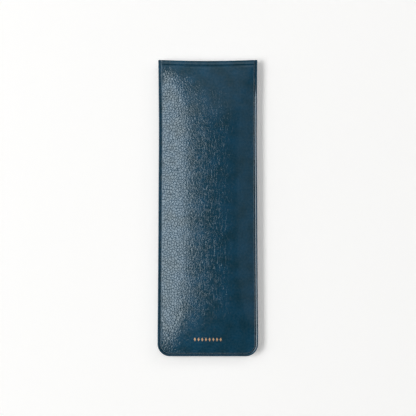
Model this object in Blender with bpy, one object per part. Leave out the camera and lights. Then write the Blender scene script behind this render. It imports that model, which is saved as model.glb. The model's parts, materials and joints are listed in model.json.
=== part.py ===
"""A slim pen case of padded leathercloth, lying on its back with the mouth toward +Y.

Two puffed panels are welded together along the sides and the foot. A flat spring strip in
each lip keeps the mouth shut until its ends are squeezed. Each panel is a cover, a thin
foam, a spring strip and a lining, one over the other.

The front half is parented to an empty on the line about which its panel opens.
"""
import math

import bmesh
import bpy
from mathutils import Vector

MM = 0.001

# The outline, seen from above
CASE_LENGTH = 178.0 * MM
CASE_WIDTH = 60.5 * MM
DRAWN_IN_WIDTH = 1.9 * MM
FOOT_CORNER_RADIUS = 7.5 * MM
MOUTH_CORNER_RADIUS = 0.5 * MM
MOUTH_SAG = 0.8 * MM
MOUTH_SAG_REACH = 26.0 * MM

# How much of the drawn in width is gone, at shares of the length from the foot
DRAWN_IN_SHARES = (
    (0.0, 0.0),
    (0.07, 0.02),
    (0.19, 0.55),
    (0.48, 0.78),
    (0.74, 1.0),
    (0.93, 0.74),
    (1.0, 0.74),
)

# The layers of one panel, and the air that keeps neighbours apart
COVER_THICKNESS = 0.7 * MM
LINING_THICKNESS = 0.35 * MM
FOAM_THICKNESS = 0.8 * MM
STRIP_THICKNESS = 0.3 * MM
GAP = 0.3 * MM

# The welded rim round the sides and the foot, half of it on each cover
RIM_BEAD_WIDTH = 1.1 * MM
RIM_GROOVE_WIDTH = 0.9 * MM
RIM_EDGE_HEIGHT = 0.45 * MM
RIM_CREST_HEIGHT = 0.85 * MM
RIM_GROOVE_HEIGHT = 0.5 * MM

# The step from the rim up to the padded panel
SHOULDER_RUN = 3.0 * MM
SHOULDER_WALL = 0.45 * MM

# The turned lip along the mouth, with the seam pressed in below it
LIP_BEAD_WIDTH = 2.2 * MM
LIP_SEAM_WIDTH = 1.2 * MM
LIP_RAISE = 0.1 * MM
LIP_EDGE_DROP = 0.8 * MM
LIP_SEAM_DEPTH = 0.35 * MM

# The spring strips, one in each lip
STRIP_HEIGHT = 10.0 * MM
STRIP_DEPTH = 4.0 * MM
STRIP_CORNER_RADIUS = 3.0 * MM
STRIP_TO_FOAM = 1.0 * MM
FOAM_TAPER = 8.0 * MM

# The puffed form of the panels, which the ends hold down like a stretched film
FRONT_CROWN = 4.7 * MM
BACK_CROWN = 2.9 * MM
BACK_REST_CROWN = 2.2 * MM
PUFF_REACH = 24.0 * MM
LIP_CROWN_SHARE = 0.2

# Where the mesh lines run, as shares of the stretch that they cross
LIP_FOLD_SHARE = 0.64
MOUTH_BEAD_SHARES = (0.0, 0.12, 0.36, LIP_FOLD_SHARE, 1.0)
MOUTH_SEAM_SHARES = (0.5, 1.0, 1.6)
ARM_SHARES = (0.07, 0.16, 0.25, 0.34, 0.45, 0.57, 0.69, 0.80, 0.89, 0.95, 1.0)
PLAIN_ARM_SHARES = (0.0, 0.08, 0.20, 0.33, 0.48, 0.64, 0.80, 0.91, 1.0)
RIM_BEAD_SHARES = (0.0, 0.28, 0.72, 1.0)
SHOULDER_SHARES = (0.0, 0.1, 0.26, 0.52, 1.0)
PLAIN_SHOULDER_SHARES = (0.0, 0.18, 0.5, 1.0)
PANEL_SHARES = (0.16, 0.36, 0.6, 0.82, 1.0)
PLAIN_PANEL_SHARES = (0.2, 0.45, 0.72, 1.0)
CORNER_STEPS = 6
FOOT_STEPS = 8
PLAIN_CORNER_STEPS = 3
PLAIN_FOOT_STEPS = 4
STRIP_CORNER_STEPS = 4
STRIP_STEPS = 8
MERGE_SHARE = 0.01
SHARP_ANGLE = math.radians(40.0)

# Sizes that follow from the ones above
RIM_WIDTH = RIM_BEAD_WIDTH + RIM_GROOVE_WIDTH
HALF_GAP = GAP / 2
LINING_TOP = HALF_GAP + LINING_THICKNESS
FILLING_FOOT = LINING_TOP + GAP
PANEL_LEVEL = FILLING_FOOT + FOAM_THICKNESS + GAP + COVER_THICKNESS
RIM_PLANE = PANEL_LEVEL + BACK_REST_CROWN
SEAM_FOOT = LIP_BEAD_WIDTH + LIP_SEAM_WIDTH
FOAM_DEPTH = STRIP_DEPTH + STRIP_HEIGHT + STRIP_TO_FOAM
HINGE_Y = RIM_WIDTH / 2 - CASE_LENGTH / 2


def clamped(share):
    return min(max(share, 0.0), 1.0)


def eased(share):
    """0 to 1 with a level start and a level end."""
    share = clamped(share)
    return share * share * (3.0 - 2.0 * share)


def rounded_off(share):
    """0 to 1 with a steep start and a level end, like the edge of a cushion."""
    share = clamped(share)
    return share * (2.0 - share)


def through(points, at):
    """A smooth curve through points, read at one place."""
    for index in range(len(points) - 1):
        low, high = points[index], points[index + 1]
        if at <= high[0] or index == len(points) - 2:
            break
    before = points[max(index - 1, 0)]
    after = points[min(index + 2, len(points) - 1)]
    span = high[0] - low[0]
    t = clamped((at - low[0]) / span)
    slope_low = (high[1] - before[1]) / (high[0] - before[0]) * span
    slope_high = (after[1] - low[1]) / (after[0] - low[0]) * span
    return (
        (2 * t**3 - 3 * t**2 + 1) * low[1]
        + (t**3 - 2 * t**2 + t) * slope_low
        + (3 * t**2 - 2 * t**3) * high[1]
        + (t**3 - t**2) * slope_high
    )


def half_width(along):
    """Half of the case's width at a distance from the foot."""
    lost = max(through(DRAWN_IN_SHARES, along / CASE_LENGTH), 0.0) * DRAWN_IN_WIDTH / 2
    past = clamped((along - CASE_LENGTH) / MOUTH_CORNER_RADIUS + 1.0)
    corner = MOUTH_CORNER_RADIUS * (1.0 - math.sqrt(1.0 - past * past))
    return CASE_WIDTH / 2 - lost - corner


def crown_share(x, along):
    """How far the panel is puffed at a place, from 0 at the rim to 1 in the middle."""
    across = clamped(abs(x) / (half_width(along) - RIM_WIDTH))
    from_foot = max(along - RIM_WIDTH, 0.0)
    from_seam = max(CASE_LENGTH - SEAM_FOOT - along, 0.0)
    held_by_lip = (1.0 - LIP_CROWN_SHARE) * math.exp(-from_seam / PUFF_REACH)
    held_by_foot = math.exp(-from_foot / PUFF_REACH)
    return (1.0 - across * across) * (1.0 - held_by_foot) * (1.0 - held_by_lip)


def front_crown(x, along):
    return FRONT_CROWN * crown_share(x, along)


def back_crown(x, along):
    """The back is pressed flat where the case rests on it."""
    return min(BACK_CROWN * crown_share(x, along), BACK_REST_CROWN)


def filling_thickness(along):
    """The strip's thickness in the lip, and the foam's growing thickness below it."""
    below_strip = (CASE_LENGTH - along - STRIP_DEPTH - STRIP_HEIGHT) / FOAM_TAPER
    return STRIP_THICKNESS + (FOAM_THICKNESS - STRIP_THICKNESS) * eased(below_strip)


def rim_height(inset):
    """The outside of the rim: a round bead along the edge, then the weld's groove."""
    if inset >= RIM_BEAD_WIDTH:
        return RIM_GROOVE_HEIGHT
    from_crest = 2.0 * inset / RIM_BEAD_WIDTH - 1.0
    foot = RIM_EDGE_HEIGHT if from_crest < 0.0 else RIM_GROOVE_HEIGHT
    return RIM_CREST_HEIGHT - (RIM_CREST_HEIGHT - foot) * from_crest**2


def lip_change(depth):
    """What the turned lip and its seam add to the cover, by the depth below the mouth."""
    if depth >= LIP_BEAD_WIDTH:
        return -LIP_SEAM_DEPTH * (1.0 - eased((depth - LIP_BEAD_WIDTH) / LIP_SEAM_WIDTH))
    from_crest = 2.0 * depth / LIP_BEAD_WIDTH - 1.0
    drop = LIP_EDGE_DROP if from_crest < 0.0 else LIP_SEAM_DEPTH
    return LIP_RAISE - (LIP_RAISE + drop) * from_crest**2


def cover_outside(x, along, inset, crown):
    if inset <= RIM_WIDTH:
        return HALF_GAP + rim_height(inset)
    rise = rounded_off((inset - RIM_WIDTH) / SHOULDER_RUN)
    foot = HALF_GAP + RIM_GROOVE_HEIGHT
    top = FILLING_FOOT + filling_thickness(along) + GAP + COVER_THICKNESS
    top += crown(x, along) + lip_change(CASE_LENGTH - along)
    return foot + (top - foot) * rise


def cover_inside(x, along, inset, crown):
    """The inside follows the outside, and drops to the lining's face at the turned lip."""
    rise = rounded_off((inset - RIM_WIDTH - SHOULDER_WALL) / SHOULDER_RUN)
    room = FILLING_FOOT + filling_thickness(along) + GAP - HALF_GAP
    fold_end = LIP_FOLD_SHARE * LIP_BEAD_WIDTH
    fold_run = (1.0 - LIP_FOLD_SHARE) * LIP_BEAD_WIDTH
    room *= clamped((CASE_LENGTH - along - fold_end) / fold_run)
    return HALF_GAP + (room + crown(x, along)) * rise


def clear_inset(height, along):
    """How far in from the outline the inside of a cover has risen to a height."""
    room = FILLING_FOOT + filling_thickness(along) + GAP - HALF_GAP
    share = clamped((height - HALF_GAP) / room)
    return RIM_WIDTH + SHOULDER_WALL + SHOULDER_RUN * (1.0 - math.sqrt(1.0 - share))


def lining_inside(x, along, inset, crown):
    return HALF_GAP + crown(x, along)


def lining_outside(x, along, inset, crown):
    return LINING_TOP + crown(x, along)


def foam_inside(x, along, inset, crown):
    return FILLING_FOOT + crown(x, along)


def foam_outside(x, along, inset, crown):
    return cover_inside(x, along, inset, crown) - GAP


def cover_depths():
    """The depths below the mouth of the cover's mesh lines, down to the foot's corners."""
    depths = [share * LIP_BEAD_WIDTH for share in MOUTH_BEAD_SHARES]
    depths += [LIP_BEAD_WIDTH + share * LIP_SEAM_WIDTH for share in MOUTH_SEAM_SHARES]
    strip_end = STRIP_DEPTH + STRIP_HEIGHT
    depths += [(depths[-1] + strip_end) / 2, strip_end, FOAM_DEPTH]
    rest = CASE_LENGTH - FOOT_CORNER_RADIUS - depths[-1]
    return depths + [depths[-1] + share * rest for share in ARM_SHARES]


def plain_depths(first):
    rest = CASE_LENGTH - FOOT_CORNER_RADIUS - first
    return [first + share * rest for share in PLAIN_ARM_SHARES]


def stations(depths, corner_steps, foot_steps):
    """Places round the outline from the left end of the mouth to the right one.

    Each is a side, from -1 on the left to 1 on the right, a distance from the foot, which
    is 0 at the foot itself, and the angle that a place on a round corner has turned by.
    """
    left = [(-1.0, CASE_LENGTH - depth, None) for depth in depths]
    left += [(-1.0, 0.0, math.pi / 2 * step / corner_steps) for step in range(1, corner_steps)]
    foot = [(2.0 * step / foot_steps - 1.0, 0.0, None) for step in range(foot_steps + 1)]
    right = [(1.0, along, turn) for side, along, turn in reversed(left)]
    return left + foot + right


def edge_point(place, inset):
    """A point at an inset from the outline, square to it."""
    side, along, turn = place
    straight = CASE_WIDTH / 2 - FOOT_CORNER_RADIUS
    radius = max(FOOT_CORNER_RADIUS - inset, 0.0)
    centre = max(FOOT_CORNER_RADIUS, inset)
    if turn is not None:
        x = CASE_WIDTH / 2 - centre + radius * math.cos(turn)
        return side * x, centre - radius * math.sin(turn)
    if along > 0.0:
        return side * (half_width(along) - inset), max(along, centre)
    return side * min(straight, CASE_WIDTH / 2 - centre), inset


def spine_point(place):
    """Where a place's line ends on the middle line of the panel."""
    side, along, turn = place
    low = CASE_WIDTH / 2
    high = CASE_LENGTH - FOAM_DEPTH
    if turn is not None or along == 0.0:
        return 0.0, low
    if along >= high:
        return 0.0, along
    share = (along - FOOT_CORNER_RADIUS) / (high - FOOT_CORNER_RADIUS)
    return 0.0, low + share * (high - low)


def sagged(x, along):
    """The middle of the mouth lies a little lower than its ends."""
    across = clamped(abs(x) / half_width(along))
    near = eased((along - CASE_LENGTH) / MOUTH_SAG_REACH + 1.0)
    return along - MOUTH_SAG * (1.0 - across * across) * near


def surface(mesh, places, insets, panel_shares, height, crown, facing):
    """A grid of vertices over the panel: one row for each place, from rim to spine."""
    rows = []
    for place in places:
        row = []
        for inset in insets(place[1]):
            start = edge_point(place, inset)
            row.append((*start, height(*start, inset, crown)))
        end = spine_point(place)
        for share in panel_shares:
            x = start[0] + share * (end[0] - start[0])
            along = start[1] + share * (end[1] - start[1])
            row.append((x, along, height(x, along, CASE_WIDTH, crown)))
        rows.append([mesh.verts.new(placed(point, facing)) for point in row])
    return rows


def placed(point, facing):
    """From the panel's own measures to the case's frame: facing is 1 for the front."""
    x, along, height = point
    return Vector((x, sagged(x, along) - CASE_LENGTH / 2, RIM_PLANE + facing * height))


def skin(mesh, rows):
    """Faces between each row of vertices and the next."""
    for row, following in zip(rows, rows[1:]):
        for index in range(len(row) - 1):
            mesh.faces.new((row[index], row[index + 1], following[index + 1], following[index]))


def wall(mesh, upper, lower):
    """Closes the edge between two lines of vertices, one over the other."""
    above, below = 0, 0
    while above < len(upper) - 1 or below < len(lower) - 1:
        share_above = (above + 1) / (len(upper) - 1)
        share_below = (below + 1) / (len(lower) - 1)
        if below == len(lower) - 1 or (above < len(upper) - 1 and share_above <= share_below):
            mesh.faces.new((upper[above], upper[above + 1], lower[below]))
            above += 1
        else:
            mesh.faces.new((upper[above], lower[below + 1], lower[below]))
            below += 1


def mouth_line(rows):
    """The vertices along the mouth, from rim to rim over the spine."""
    return rows[0] + rows[-1][-2::-1]


def panel_mesh(name, places, outside, inside, facing, crown):
    """A closed sheet between two surfaces, each given by its insets, shares and height."""
    mesh = bmesh.new()
    upper = surface(mesh, places, *outside, crown, facing)
    lower = surface(mesh, places, *inside, crown, facing)
    skin(mesh, upper)
    skin(mesh, lower)
    wall(mesh, [row[0] for row in upper], [row[0] for row in lower])
    wall(mesh, mouth_line(upper), mouth_line(lower))
    bmesh.ops.remove_doubles(mesh, verts=mesh.verts, dist=MERGE_SHARE * GAP)
    bmesh.ops.recalc_face_normals(mesh, faces=mesh.faces)
    return finished(mesh, name)


def finished(mesh, name):
    """A smooth-shaded mesh, sharp only at its real edges."""
    data = bpy.data.meshes.new(name)
    mesh.to_mesh(data)
    mesh.free()
    data.shade_smooth()
    data.set_sharp_from_angle(angle=SHARP_ANGLE)
    return data


def cover(name, facing, crown):
    """The skin of one panel, with its half of the rim and its turned lip."""
    rim = [share * RIM_BEAD_WIDTH for share in RIM_BEAD_SHARES]
    shoulder = [RIM_WIDTH + share * SHOULDER_RUN for share in SHOULDER_SHARES]
    outer_insets = rim + shoulder
    inner_insets = [0.0] + [inset + SHOULDER_WALL for inset in shoulder]
    outside = (lambda along: outer_insets, PANEL_SHARES, cover_outside)
    inside = (lambda along: inner_insets, PANEL_SHARES, cover_inside)
    places = stations(cover_depths(), CORNER_STEPS, FOOT_STEPS)
    return panel_mesh(name, places, outside, inside, facing, crown)


def lining(name, facing, crown):
    """The inner skin, which ends just inside the weld and just below the turned lip."""

    def insets(along):
        start = clear_inset(LINING_TOP + GAP, CASE_LENGTH) + HALF_GAP
        return [start, start + SHOULDER_RUN]

    places = stations(plain_depths(LIP_BEAD_WIDTH + GAP), PLAIN_CORNER_STEPS, PLAIN_FOOT_STEPS)
    outside = (insets, PLAIN_PANEL_SHARES, lining_outside)
    inside = (insets, PLAIN_PANEL_SHARES, lining_inside)
    return panel_mesh(name, places, outside, inside, facing, crown)


def padding(name, facing, crown):
    """The foam between cover and lining, from below the strip to the foot's weld."""

    def insets(along):
        start = clear_inset(FILLING_FOOT + STRIP_THICKNESS + GAP, along)
        end = RIM_WIDTH + SHOULDER_WALL + 2 * SHOULDER_RUN
        return [start + share * (end - start) for share in PLAIN_SHOULDER_SHARES]

    places = stations(plain_depths(FOAM_DEPTH), PLAIN_CORNER_STEPS, PLAIN_FOOT_STEPS)
    outside = (insets, PLAIN_PANEL_SHARES, foam_outside)
    inside = (insets, PLAIN_PANEL_SHARES, foam_inside)
    return panel_mesh(name, places, outside, inside, facing, crown)


def strip_lines():
    """The strip's cross lines: how far out each lies, and the half height of the strip there.

    The strip's ends lie where the inside of the cover has risen clear of them.
    """
    middle = CASE_LENGTH - STRIP_DEPTH - STRIP_HEIGHT / 2
    end_inset = clear_inset(FILLING_FOOT + STRIP_THICKNESS + GAP, middle)
    straight = half_width(middle) - end_inset - STRIP_CORNER_RADIUS
    half_height = STRIP_HEIGHT / 2 - STRIP_CORNER_RADIUS
    lines = []
    for step in range(STRIP_STEPS + 1):
        lines.append(((2.0 * step / STRIP_STEPS - 1.0) * straight, STRIP_HEIGHT / 2))
    for step in range(1, STRIP_CORNER_STEPS + 1):
        turn = math.pi / 2 * step / STRIP_CORNER_STEPS
        out = straight + STRIP_CORNER_RADIUS * math.sin(turn)
        height = half_height + STRIP_CORNER_RADIUS * math.cos(turn)
        lines.append((out, height))
        lines.insert(0, (-out, height))
    return lines


def spring_strip(name, facing, crown):
    """A thin strip with round corners, arched like the lip that it lies in."""
    middle = CASE_LENGTH - STRIP_DEPTH - STRIP_HEIGHT / 2
    mesh = bmesh.new()
    rows = []
    for thickness in (STRIP_THICKNESS, 0.0):
        side = []
        for x, half_height in strip_lines():
            row = []
            for end in (1.0, 0.0, -1.0):
                along = middle + end * half_height
                height = FILLING_FOOT + thickness + crown(x, along)
                row.append(mesh.verts.new(placed((x, along, height), facing)))
            side.append(row)
        rows.append(side)
    upper, lower = rows
    skin(mesh, upper)
    skin(mesh, lower)
    for edge in (0, -1):
        wall(mesh, [row[edge] for row in upper], [row[edge] for row in lower])
        wall(mesh, upper[edge], lower[edge])
    bmesh.ops.recalc_face_normals(mesh, faces=mesh.faces)
    return finished(mesh, name)


def material(name, colour, roughness, metallic):
    """A finish with one colour, roughness and metallic value."""
    made = bpy.data.materials.new(name)
    made.use_nodes = True
    shader = made.node_tree.nodes["Principled BSDF"]
    shader.inputs["Base Color"].default_value = (*colour, 1.0)
    shader.inputs["Roughness"].default_value = roughness
    shader.inputs["Metallic"].default_value = metallic
    made.diffuse_color = (*colour, 1.0)
    return made


def add(data, finish, parent):
    """Adds a piece to the scene, with its origin where its parent's is."""
    data.transform(parent.matrix_basis.inverted())
    data.materials.append(finish)
    made = bpy.data.objects.new(data.name, data)
    made.parent = parent
    bpy.context.scene.collection.objects.link(made)
    return made


def add_empty(name, location):
    made = bpy.data.objects.new(name, None)
    made.empty_display_size = RIM_WIDTH
    made.matrix_basis.translation = location
    bpy.context.scene.collection.objects.link(made)
    return made


def build():
    for old in list(bpy.data.objects):
        bpy.data.objects.remove(old)

    leathercloth_front = material("front_leathercloth", (0.009, 0.038, 0.066), 0.3, 0.0)
    leathercloth_back = material("back_leathercloth", (0.009, 0.036, 0.062), 0.32, 0.0)
    foam_front = material("front_foam", (0.62, 0.60, 0.55), 0.95, 0.0)
    foam_back = material("back_foam", (0.60, 0.58, 0.53), 0.95, 0.0)
    film_front = material("front_lining_film", (0.012, 0.016, 0.022), 0.5, 0.0)
    film_back = material("back_lining_film", (0.012, 0.015, 0.021), 0.52, 0.0)
    steel_front = material("front_spring_steel", (0.55, 0.56, 0.58), 0.3, 1.0)
    steel_back = material("back_spring_steel", (0.54, 0.55, 0.57), 0.3, 1.0)

    back_half = add_empty("back_half", (0.0, 0.0, RIM_PLANE))
    front_half = add_empty("front_half", (0.0, HINGE_Y, RIM_PLANE))

    add(cover("back_cover", -1.0, back_crown), leathercloth_back, back_half)
    add(padding("back_padding", -1.0, back_crown), foam_back, back_half)
    add(lining("back_lining", -1.0, back_crown), film_back, back_half)
    add(spring_strip("back_spring_strip", -1.0, back_crown), steel_back, back_half)

    add(cover("front_cover", 1.0, front_crown), leathercloth_front, front_half)
    add(padding("front_padding", 1.0, front_crown), foam_front, front_half)
    add(lining("front_lining", 1.0, front_crown), film_front, front_half)
    add(spring_strip("front_spring_strip", 1.0, front_crown), steel_front, front_half)


build()
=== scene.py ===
# %% [markdown]
# # A padded pen case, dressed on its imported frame
# The case is a slim pouch of glossy leathercloth. Two puffed panels are welded together along
# the sides and the foot, and a turned lip with a spring strip in it runs along the open mouth.
# The frame holds the plain solids that the joint and the checks use. This script builds the
# skins again as fine meshes on the same formulas, gives them their grain, creases and finish,
# and lights them like the photograph: from straight above, with one soft light on the left.

import json
import math

import bpy
import numpy as np
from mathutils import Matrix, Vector
from mathutils.bvhtree import BVHTree


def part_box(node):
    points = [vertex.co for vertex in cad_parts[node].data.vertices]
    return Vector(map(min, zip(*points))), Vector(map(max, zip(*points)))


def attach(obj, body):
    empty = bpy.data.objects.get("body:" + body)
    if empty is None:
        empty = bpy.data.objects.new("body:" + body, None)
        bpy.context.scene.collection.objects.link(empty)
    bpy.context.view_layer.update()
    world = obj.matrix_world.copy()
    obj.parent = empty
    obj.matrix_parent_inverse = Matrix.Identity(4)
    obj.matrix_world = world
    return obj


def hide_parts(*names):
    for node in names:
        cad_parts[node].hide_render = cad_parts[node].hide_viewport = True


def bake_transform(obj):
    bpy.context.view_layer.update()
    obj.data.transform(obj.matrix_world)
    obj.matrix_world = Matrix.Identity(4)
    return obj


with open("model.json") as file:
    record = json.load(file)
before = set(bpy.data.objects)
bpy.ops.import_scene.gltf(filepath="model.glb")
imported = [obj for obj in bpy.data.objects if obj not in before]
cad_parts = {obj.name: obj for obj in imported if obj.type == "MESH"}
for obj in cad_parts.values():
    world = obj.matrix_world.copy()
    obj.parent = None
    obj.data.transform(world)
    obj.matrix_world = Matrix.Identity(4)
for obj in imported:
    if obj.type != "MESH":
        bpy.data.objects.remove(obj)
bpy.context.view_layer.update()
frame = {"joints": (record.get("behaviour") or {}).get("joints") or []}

# %% [markdown]
# ## The sizes
# The overall sizes come from the frame, so that the skins fit the solids that they stand for.
# The hinge lies on the middle of the foot's weld, which gives the weld's width and the height
# of the plane where the two halves meet. The small sizes repeat the part's own.

# %% Overall sizes from the frame
MM = 0.001
cover_low, cover_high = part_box("front_cover")
hinge = Vector(frame["joints"][0]["pos_m"])
CASE_WIDTH = cover_high.x - cover_low.x
CASE_LENGTH = cover_high.y - cover_low.y
FOOT_Y = cover_low.y
RIM_PLANE = hinge.z
RIM_WIDTH = 2.0 * (hinge.y - FOOT_Y)
print(f"case: {CASE_WIDTH / MM:.1f} x {CASE_LENGTH / MM:.1f} mm, weld {RIM_WIDTH / MM:.1f} mm wide")

# %% The outline and the layers
DRAWN_IN_WIDTH = 1.6 * MM
FOOT_CORNER_RADIUS = 7.5 * MM
MOUTH_CORNER_RADIUS = 0.5 * MM
MOUTH_SAG = 0.8 * MM
MOUTH_SAG_REACH = 26.0 * MM
# Shares of the length from the foot, and of how much the width is drawn in there
DRAWN_IN_SHARES = (
    (0.0, 0.0), (0.07, 0.02), (0.19, 0.22), (0.39, 0.55),
    (0.58, 0.76), (0.77, 1.0), (0.93, 0.72), (1.0, 0.55),
)
COVER_THICKNESS = 0.7 * MM
LINING_THICKNESS = 0.35 * MM
FOAM_THICKNESS = 0.8 * MM
STRIP_THICKNESS = 0.3 * MM
GAP = 0.3 * MM
STRIP_HEIGHT = 10.0 * MM
STRIP_DEPTH = 4.0 * MM
STRIP_TO_FOAM = 1.0 * MM
FOAM_TAPER = 34.0 * MM
LINING_FOOT = 0.15 * MM
LINING_TOP = LINING_FOOT + LINING_THICKNESS
FILLING_FOOT = LINING_TOP + GAP
FOAM_DEPTH = STRIP_DEPTH + STRIP_HEIGHT + STRIP_TO_FOAM

# %% The puffed form
FRONT_CROWN = 4.7 * MM
BACK_CROWN = 2.9 * MM
BACK_REST_CROWN = 2.2 * MM
PUFF_REACH = 17.0 * MM
LIP_CROWN_SHARE = 0.2
SHOULDER_START = RIM_WIDTH - 0.45 * MM
SHOULDER_RUN = 0.9 * MM
SHOULDER_WALL = 0.8 * MM
LIP_BEAD_WIDTH = 2.2 * MM
LIP_SEAM_WIDTH = 1.2 * MM
LIP_FOLD_SHARE = 0.64
SEAM_FOOT = LIP_BEAD_WIDTH + LIP_SEAM_WIDTH


def in_mm(*points):
    """Points given in millimetres, as metres."""
    return [(place * MM, height * MM) for place, height in points]


# The weld's outside, as places in from its cut edge and heights above the parting line
PARTING = 0.02 * MM
RIM_PROFILE = in_mm(
    (0.0, 0.12), (0.05, 0.5), (0.15, 0.8), (0.3, 0.88), (0.68, 0.88),
    (0.78, 0.866), (1.1, 0.782), (1.46, 0.69), (1.52, 0.57),
) + [(SHOULDER_START, 0.49 * MM)]
BEAD_TOP = Vector((0.68 * MM, 0.88 * MM))
RIM_GROOVE_HEIGHT = RIM_PROFILE[-1][1]
GROOVE_END = 6.0 * MM
GROOVE_FADE = 20.0 * MM

# The lip's outside, as depths below the mouth and changes of the panel's height
LIP_FOLD = 0.38 * MM
LIP_PROFILE = in_mm(
    (0.0, -0.16), (1.15, -0.16), (1.6, -0.04), (2.0, 0.09), (2.4, 0.2), (2.65, 0.14),
    (2.85, -0.1), (3.1, -0.24), (3.5, -0.2), (4.1, -0.03), (4.6, 0.0),
)

# Dents: the place across and up from the foot, how far they spread both ways, and the depth
DENTS = (
    (-24.5 * MM, CASE_LENGTH - 5.0 * MM, 5.0 * MM, 1.3 * MM, 0.2 * MM),
    (-17.0 * MM, 133.6 * MM, 9.0 * MM, 0.6 * MM, 0.05 * MM),
    (-18.0 * MM, 131.9 * MM, 8.0 * MM, 0.6 * MM, 0.05 * MM),
    (-16.0 * MM, 130.2 * MM, 7.0 * MM, 0.6 * MM, 0.04 * MM),
)

# %% [markdown]
# ## The form as formulas
# A puffed panel held along all its edges takes the shape of a stretched film. It is full in
# the middle and falls to the weld across the width, and the foot and the lip hold its ends
# down. Each height below is a plain formula of the place on the panel, worked out for a whole
# grid of points at once, so every layer follows the one outside it.

# %% Curves and steps
def clamped(share):
    return np.clip(share, 0.0, 1.0)


def eased(share):
    """0 to 1 with a level start and a level end."""
    share = clamped(share)
    return share * share * (3.0 - 2.0 * share)


def rounded_off(share):
    """0 to 1 with a steep start and a level end, like the edge of a cushion."""
    share = clamped(share)
    return share * (2.0 - share)


def through(points, at):
    """A smooth curve through points, read at many places."""
    places, values = np.array(points).T
    low = np.clip(np.searchsorted(places, at) - 1, 0, len(places) - 2)
    high = low + 1
    before, after = np.maximum(low - 1, 0), np.minimum(high + 1, len(places) - 1)
    span = places[high] - places[low]
    t = clamped((at - places[low]) / span)
    slope_low = (values[high] - values[before]) / (places[high] - places[before]) * span
    slope_high = (values[after] - values[low]) / (places[after] - places[low]) * span
    return (
        (2 * t**3 - 3 * t**2 + 1) * values[low]
        + (t**3 - 2 * t**2 + t) * slope_low
        + (3 * t**2 - 2 * t**3) * values[high]
        + (t**3 - t**2) * slope_high
    )


# %% The outline and the crown
def half_width(along):
    """Half of the case's width at a distance from the foot."""
    lost = np.maximum(through(DRAWN_IN_SHARES, along / CASE_LENGTH), 0.0) * DRAWN_IN_WIDTH / 2
    past = clamped((along - CASE_LENGTH) / MOUTH_CORNER_RADIUS + 1.0)
    return CASE_WIDTH / 2 - lost - MOUTH_CORNER_RADIUS * (1.0 - np.sqrt(1.0 - past * past))


def crown_share(x, along):
    """How far a panel is puffed, from 0 at the weld to 1 in the middle."""
    across = clamped(np.abs(x) / (half_width(along) - RIM_WIDTH))
    from_foot = np.maximum(along - RIM_WIDTH, 0.0)
    from_seam = np.maximum(CASE_LENGTH - SEAM_FOOT - along, 0.0)
    held_by_lip = (1.0 - LIP_CROWN_SHARE) * np.exp(-from_seam / PUFF_REACH)
    held_by_foot = np.exp(-from_foot / PUFF_REACH)
    return (1.0 - across * across) * (1.0 - held_by_foot) * (1.0 - held_by_lip)


def back_crown(x, along):
    """The back is pressed flat where the case rests on it."""
    return np.minimum(BACK_CROWN * crown_share(x, along), BACK_REST_CROWN)


WAIST = 0.74
half_widths = half_width(np.array([0.0, 0.5, WAIST]) * CASE_LENGTH) / MM
print("half width at foot, middle and waist:", np.round(half_widths, 2), "mm")


# %% Heights of the layers above the parting plane
def filling_thickness(along):
    """The strip's thickness in the lip, and the foam's growing thickness below it."""
    below_strip = (CASE_LENGTH - along - STRIP_DEPTH - STRIP_HEIGHT) / FOAM_TAPER
    return STRIP_THICKNESS + (FOAM_THICKNESS - STRIP_THICKNESS) * eased(below_strip)


def lip_change(depth):
    """The raised lip and the seam pressed in below it."""
    return through(LIP_PROFILE, np.minimum(depth, LIP_PROFILE[-1][0]))


def groove_filled(depth):
    """Near the mouth the groove beside the bead runs out, and the rim is flat."""
    return 1.0 - eased((depth - GROOVE_END) / GROOVE_FADE)


def cover_outside(along, inset, crown):
    """The weld's bead and groove, the shoulder, and the panel with its lip."""
    filled = groove_filled(CASE_LENGTH - along)
    rim = through(RIM_PROFILE, inset)
    rim = np.where(inset > BEAD_TOP.x, rim + (BEAD_TOP.y - rim) * filled, rim)
    rise = rounded_off((inset - SHOULDER_START) / SHOULDER_RUN)
    top = FILLING_FOOT + filling_thickness(along) + GAP + COVER_THICKNESS
    top = top + crown + lip_change(CASE_LENGTH - along)
    foot = RIM_GROOVE_HEIGHT + (BEAD_TOP.y - RIM_GROOVE_HEIGHT) * filled
    panel = foot + (top - foot) * rise
    return np.where(inset <= SHOULDER_START, rim, panel)


def cover_inside(along, inset, crown):
    """The inside drops to the lining's face at the turned lip."""
    rise = rounded_off((inset - SHOULDER_START - SHOULDER_WALL) / SHOULDER_RUN)
    room = FILLING_FOOT + filling_thickness(along) + GAP - PARTING
    fold_end = LIP_FOLD_SHARE * LIP_BEAD_WIDTH
    fold_run = LIP_BEAD_WIDTH - fold_end
    room = room * clamped((CASE_LENGTH - along - fold_end) / fold_run)
    return PARTING + (room + crown) * rise


# %% [markdown]
# ## A grid that turns with the outline
# A skin is a grid of points: rows from foot to mouth, columns from side to side. Fine lines
# follow the weld and the shoulder, and even ones fill the panel. At the two foot corners the
# square grid is bent round, so that its lines stay parallel to the weld. A heap of triangles
# from a remesh would break these lines, and the weld's bead with them.

# %% Rows, columns and the rounded foot corners
def spaced(low, high, step):
    """Even places from low to high, about a step apart."""
    return np.linspace(low, high, max(round((high - low) / step), 1) + 1)


def joined(*runs):
    """Runs of places put end to end, without their shared ends."""
    return np.concatenate([runs[0]] + [run[1:] for run in runs[1:]])


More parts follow.
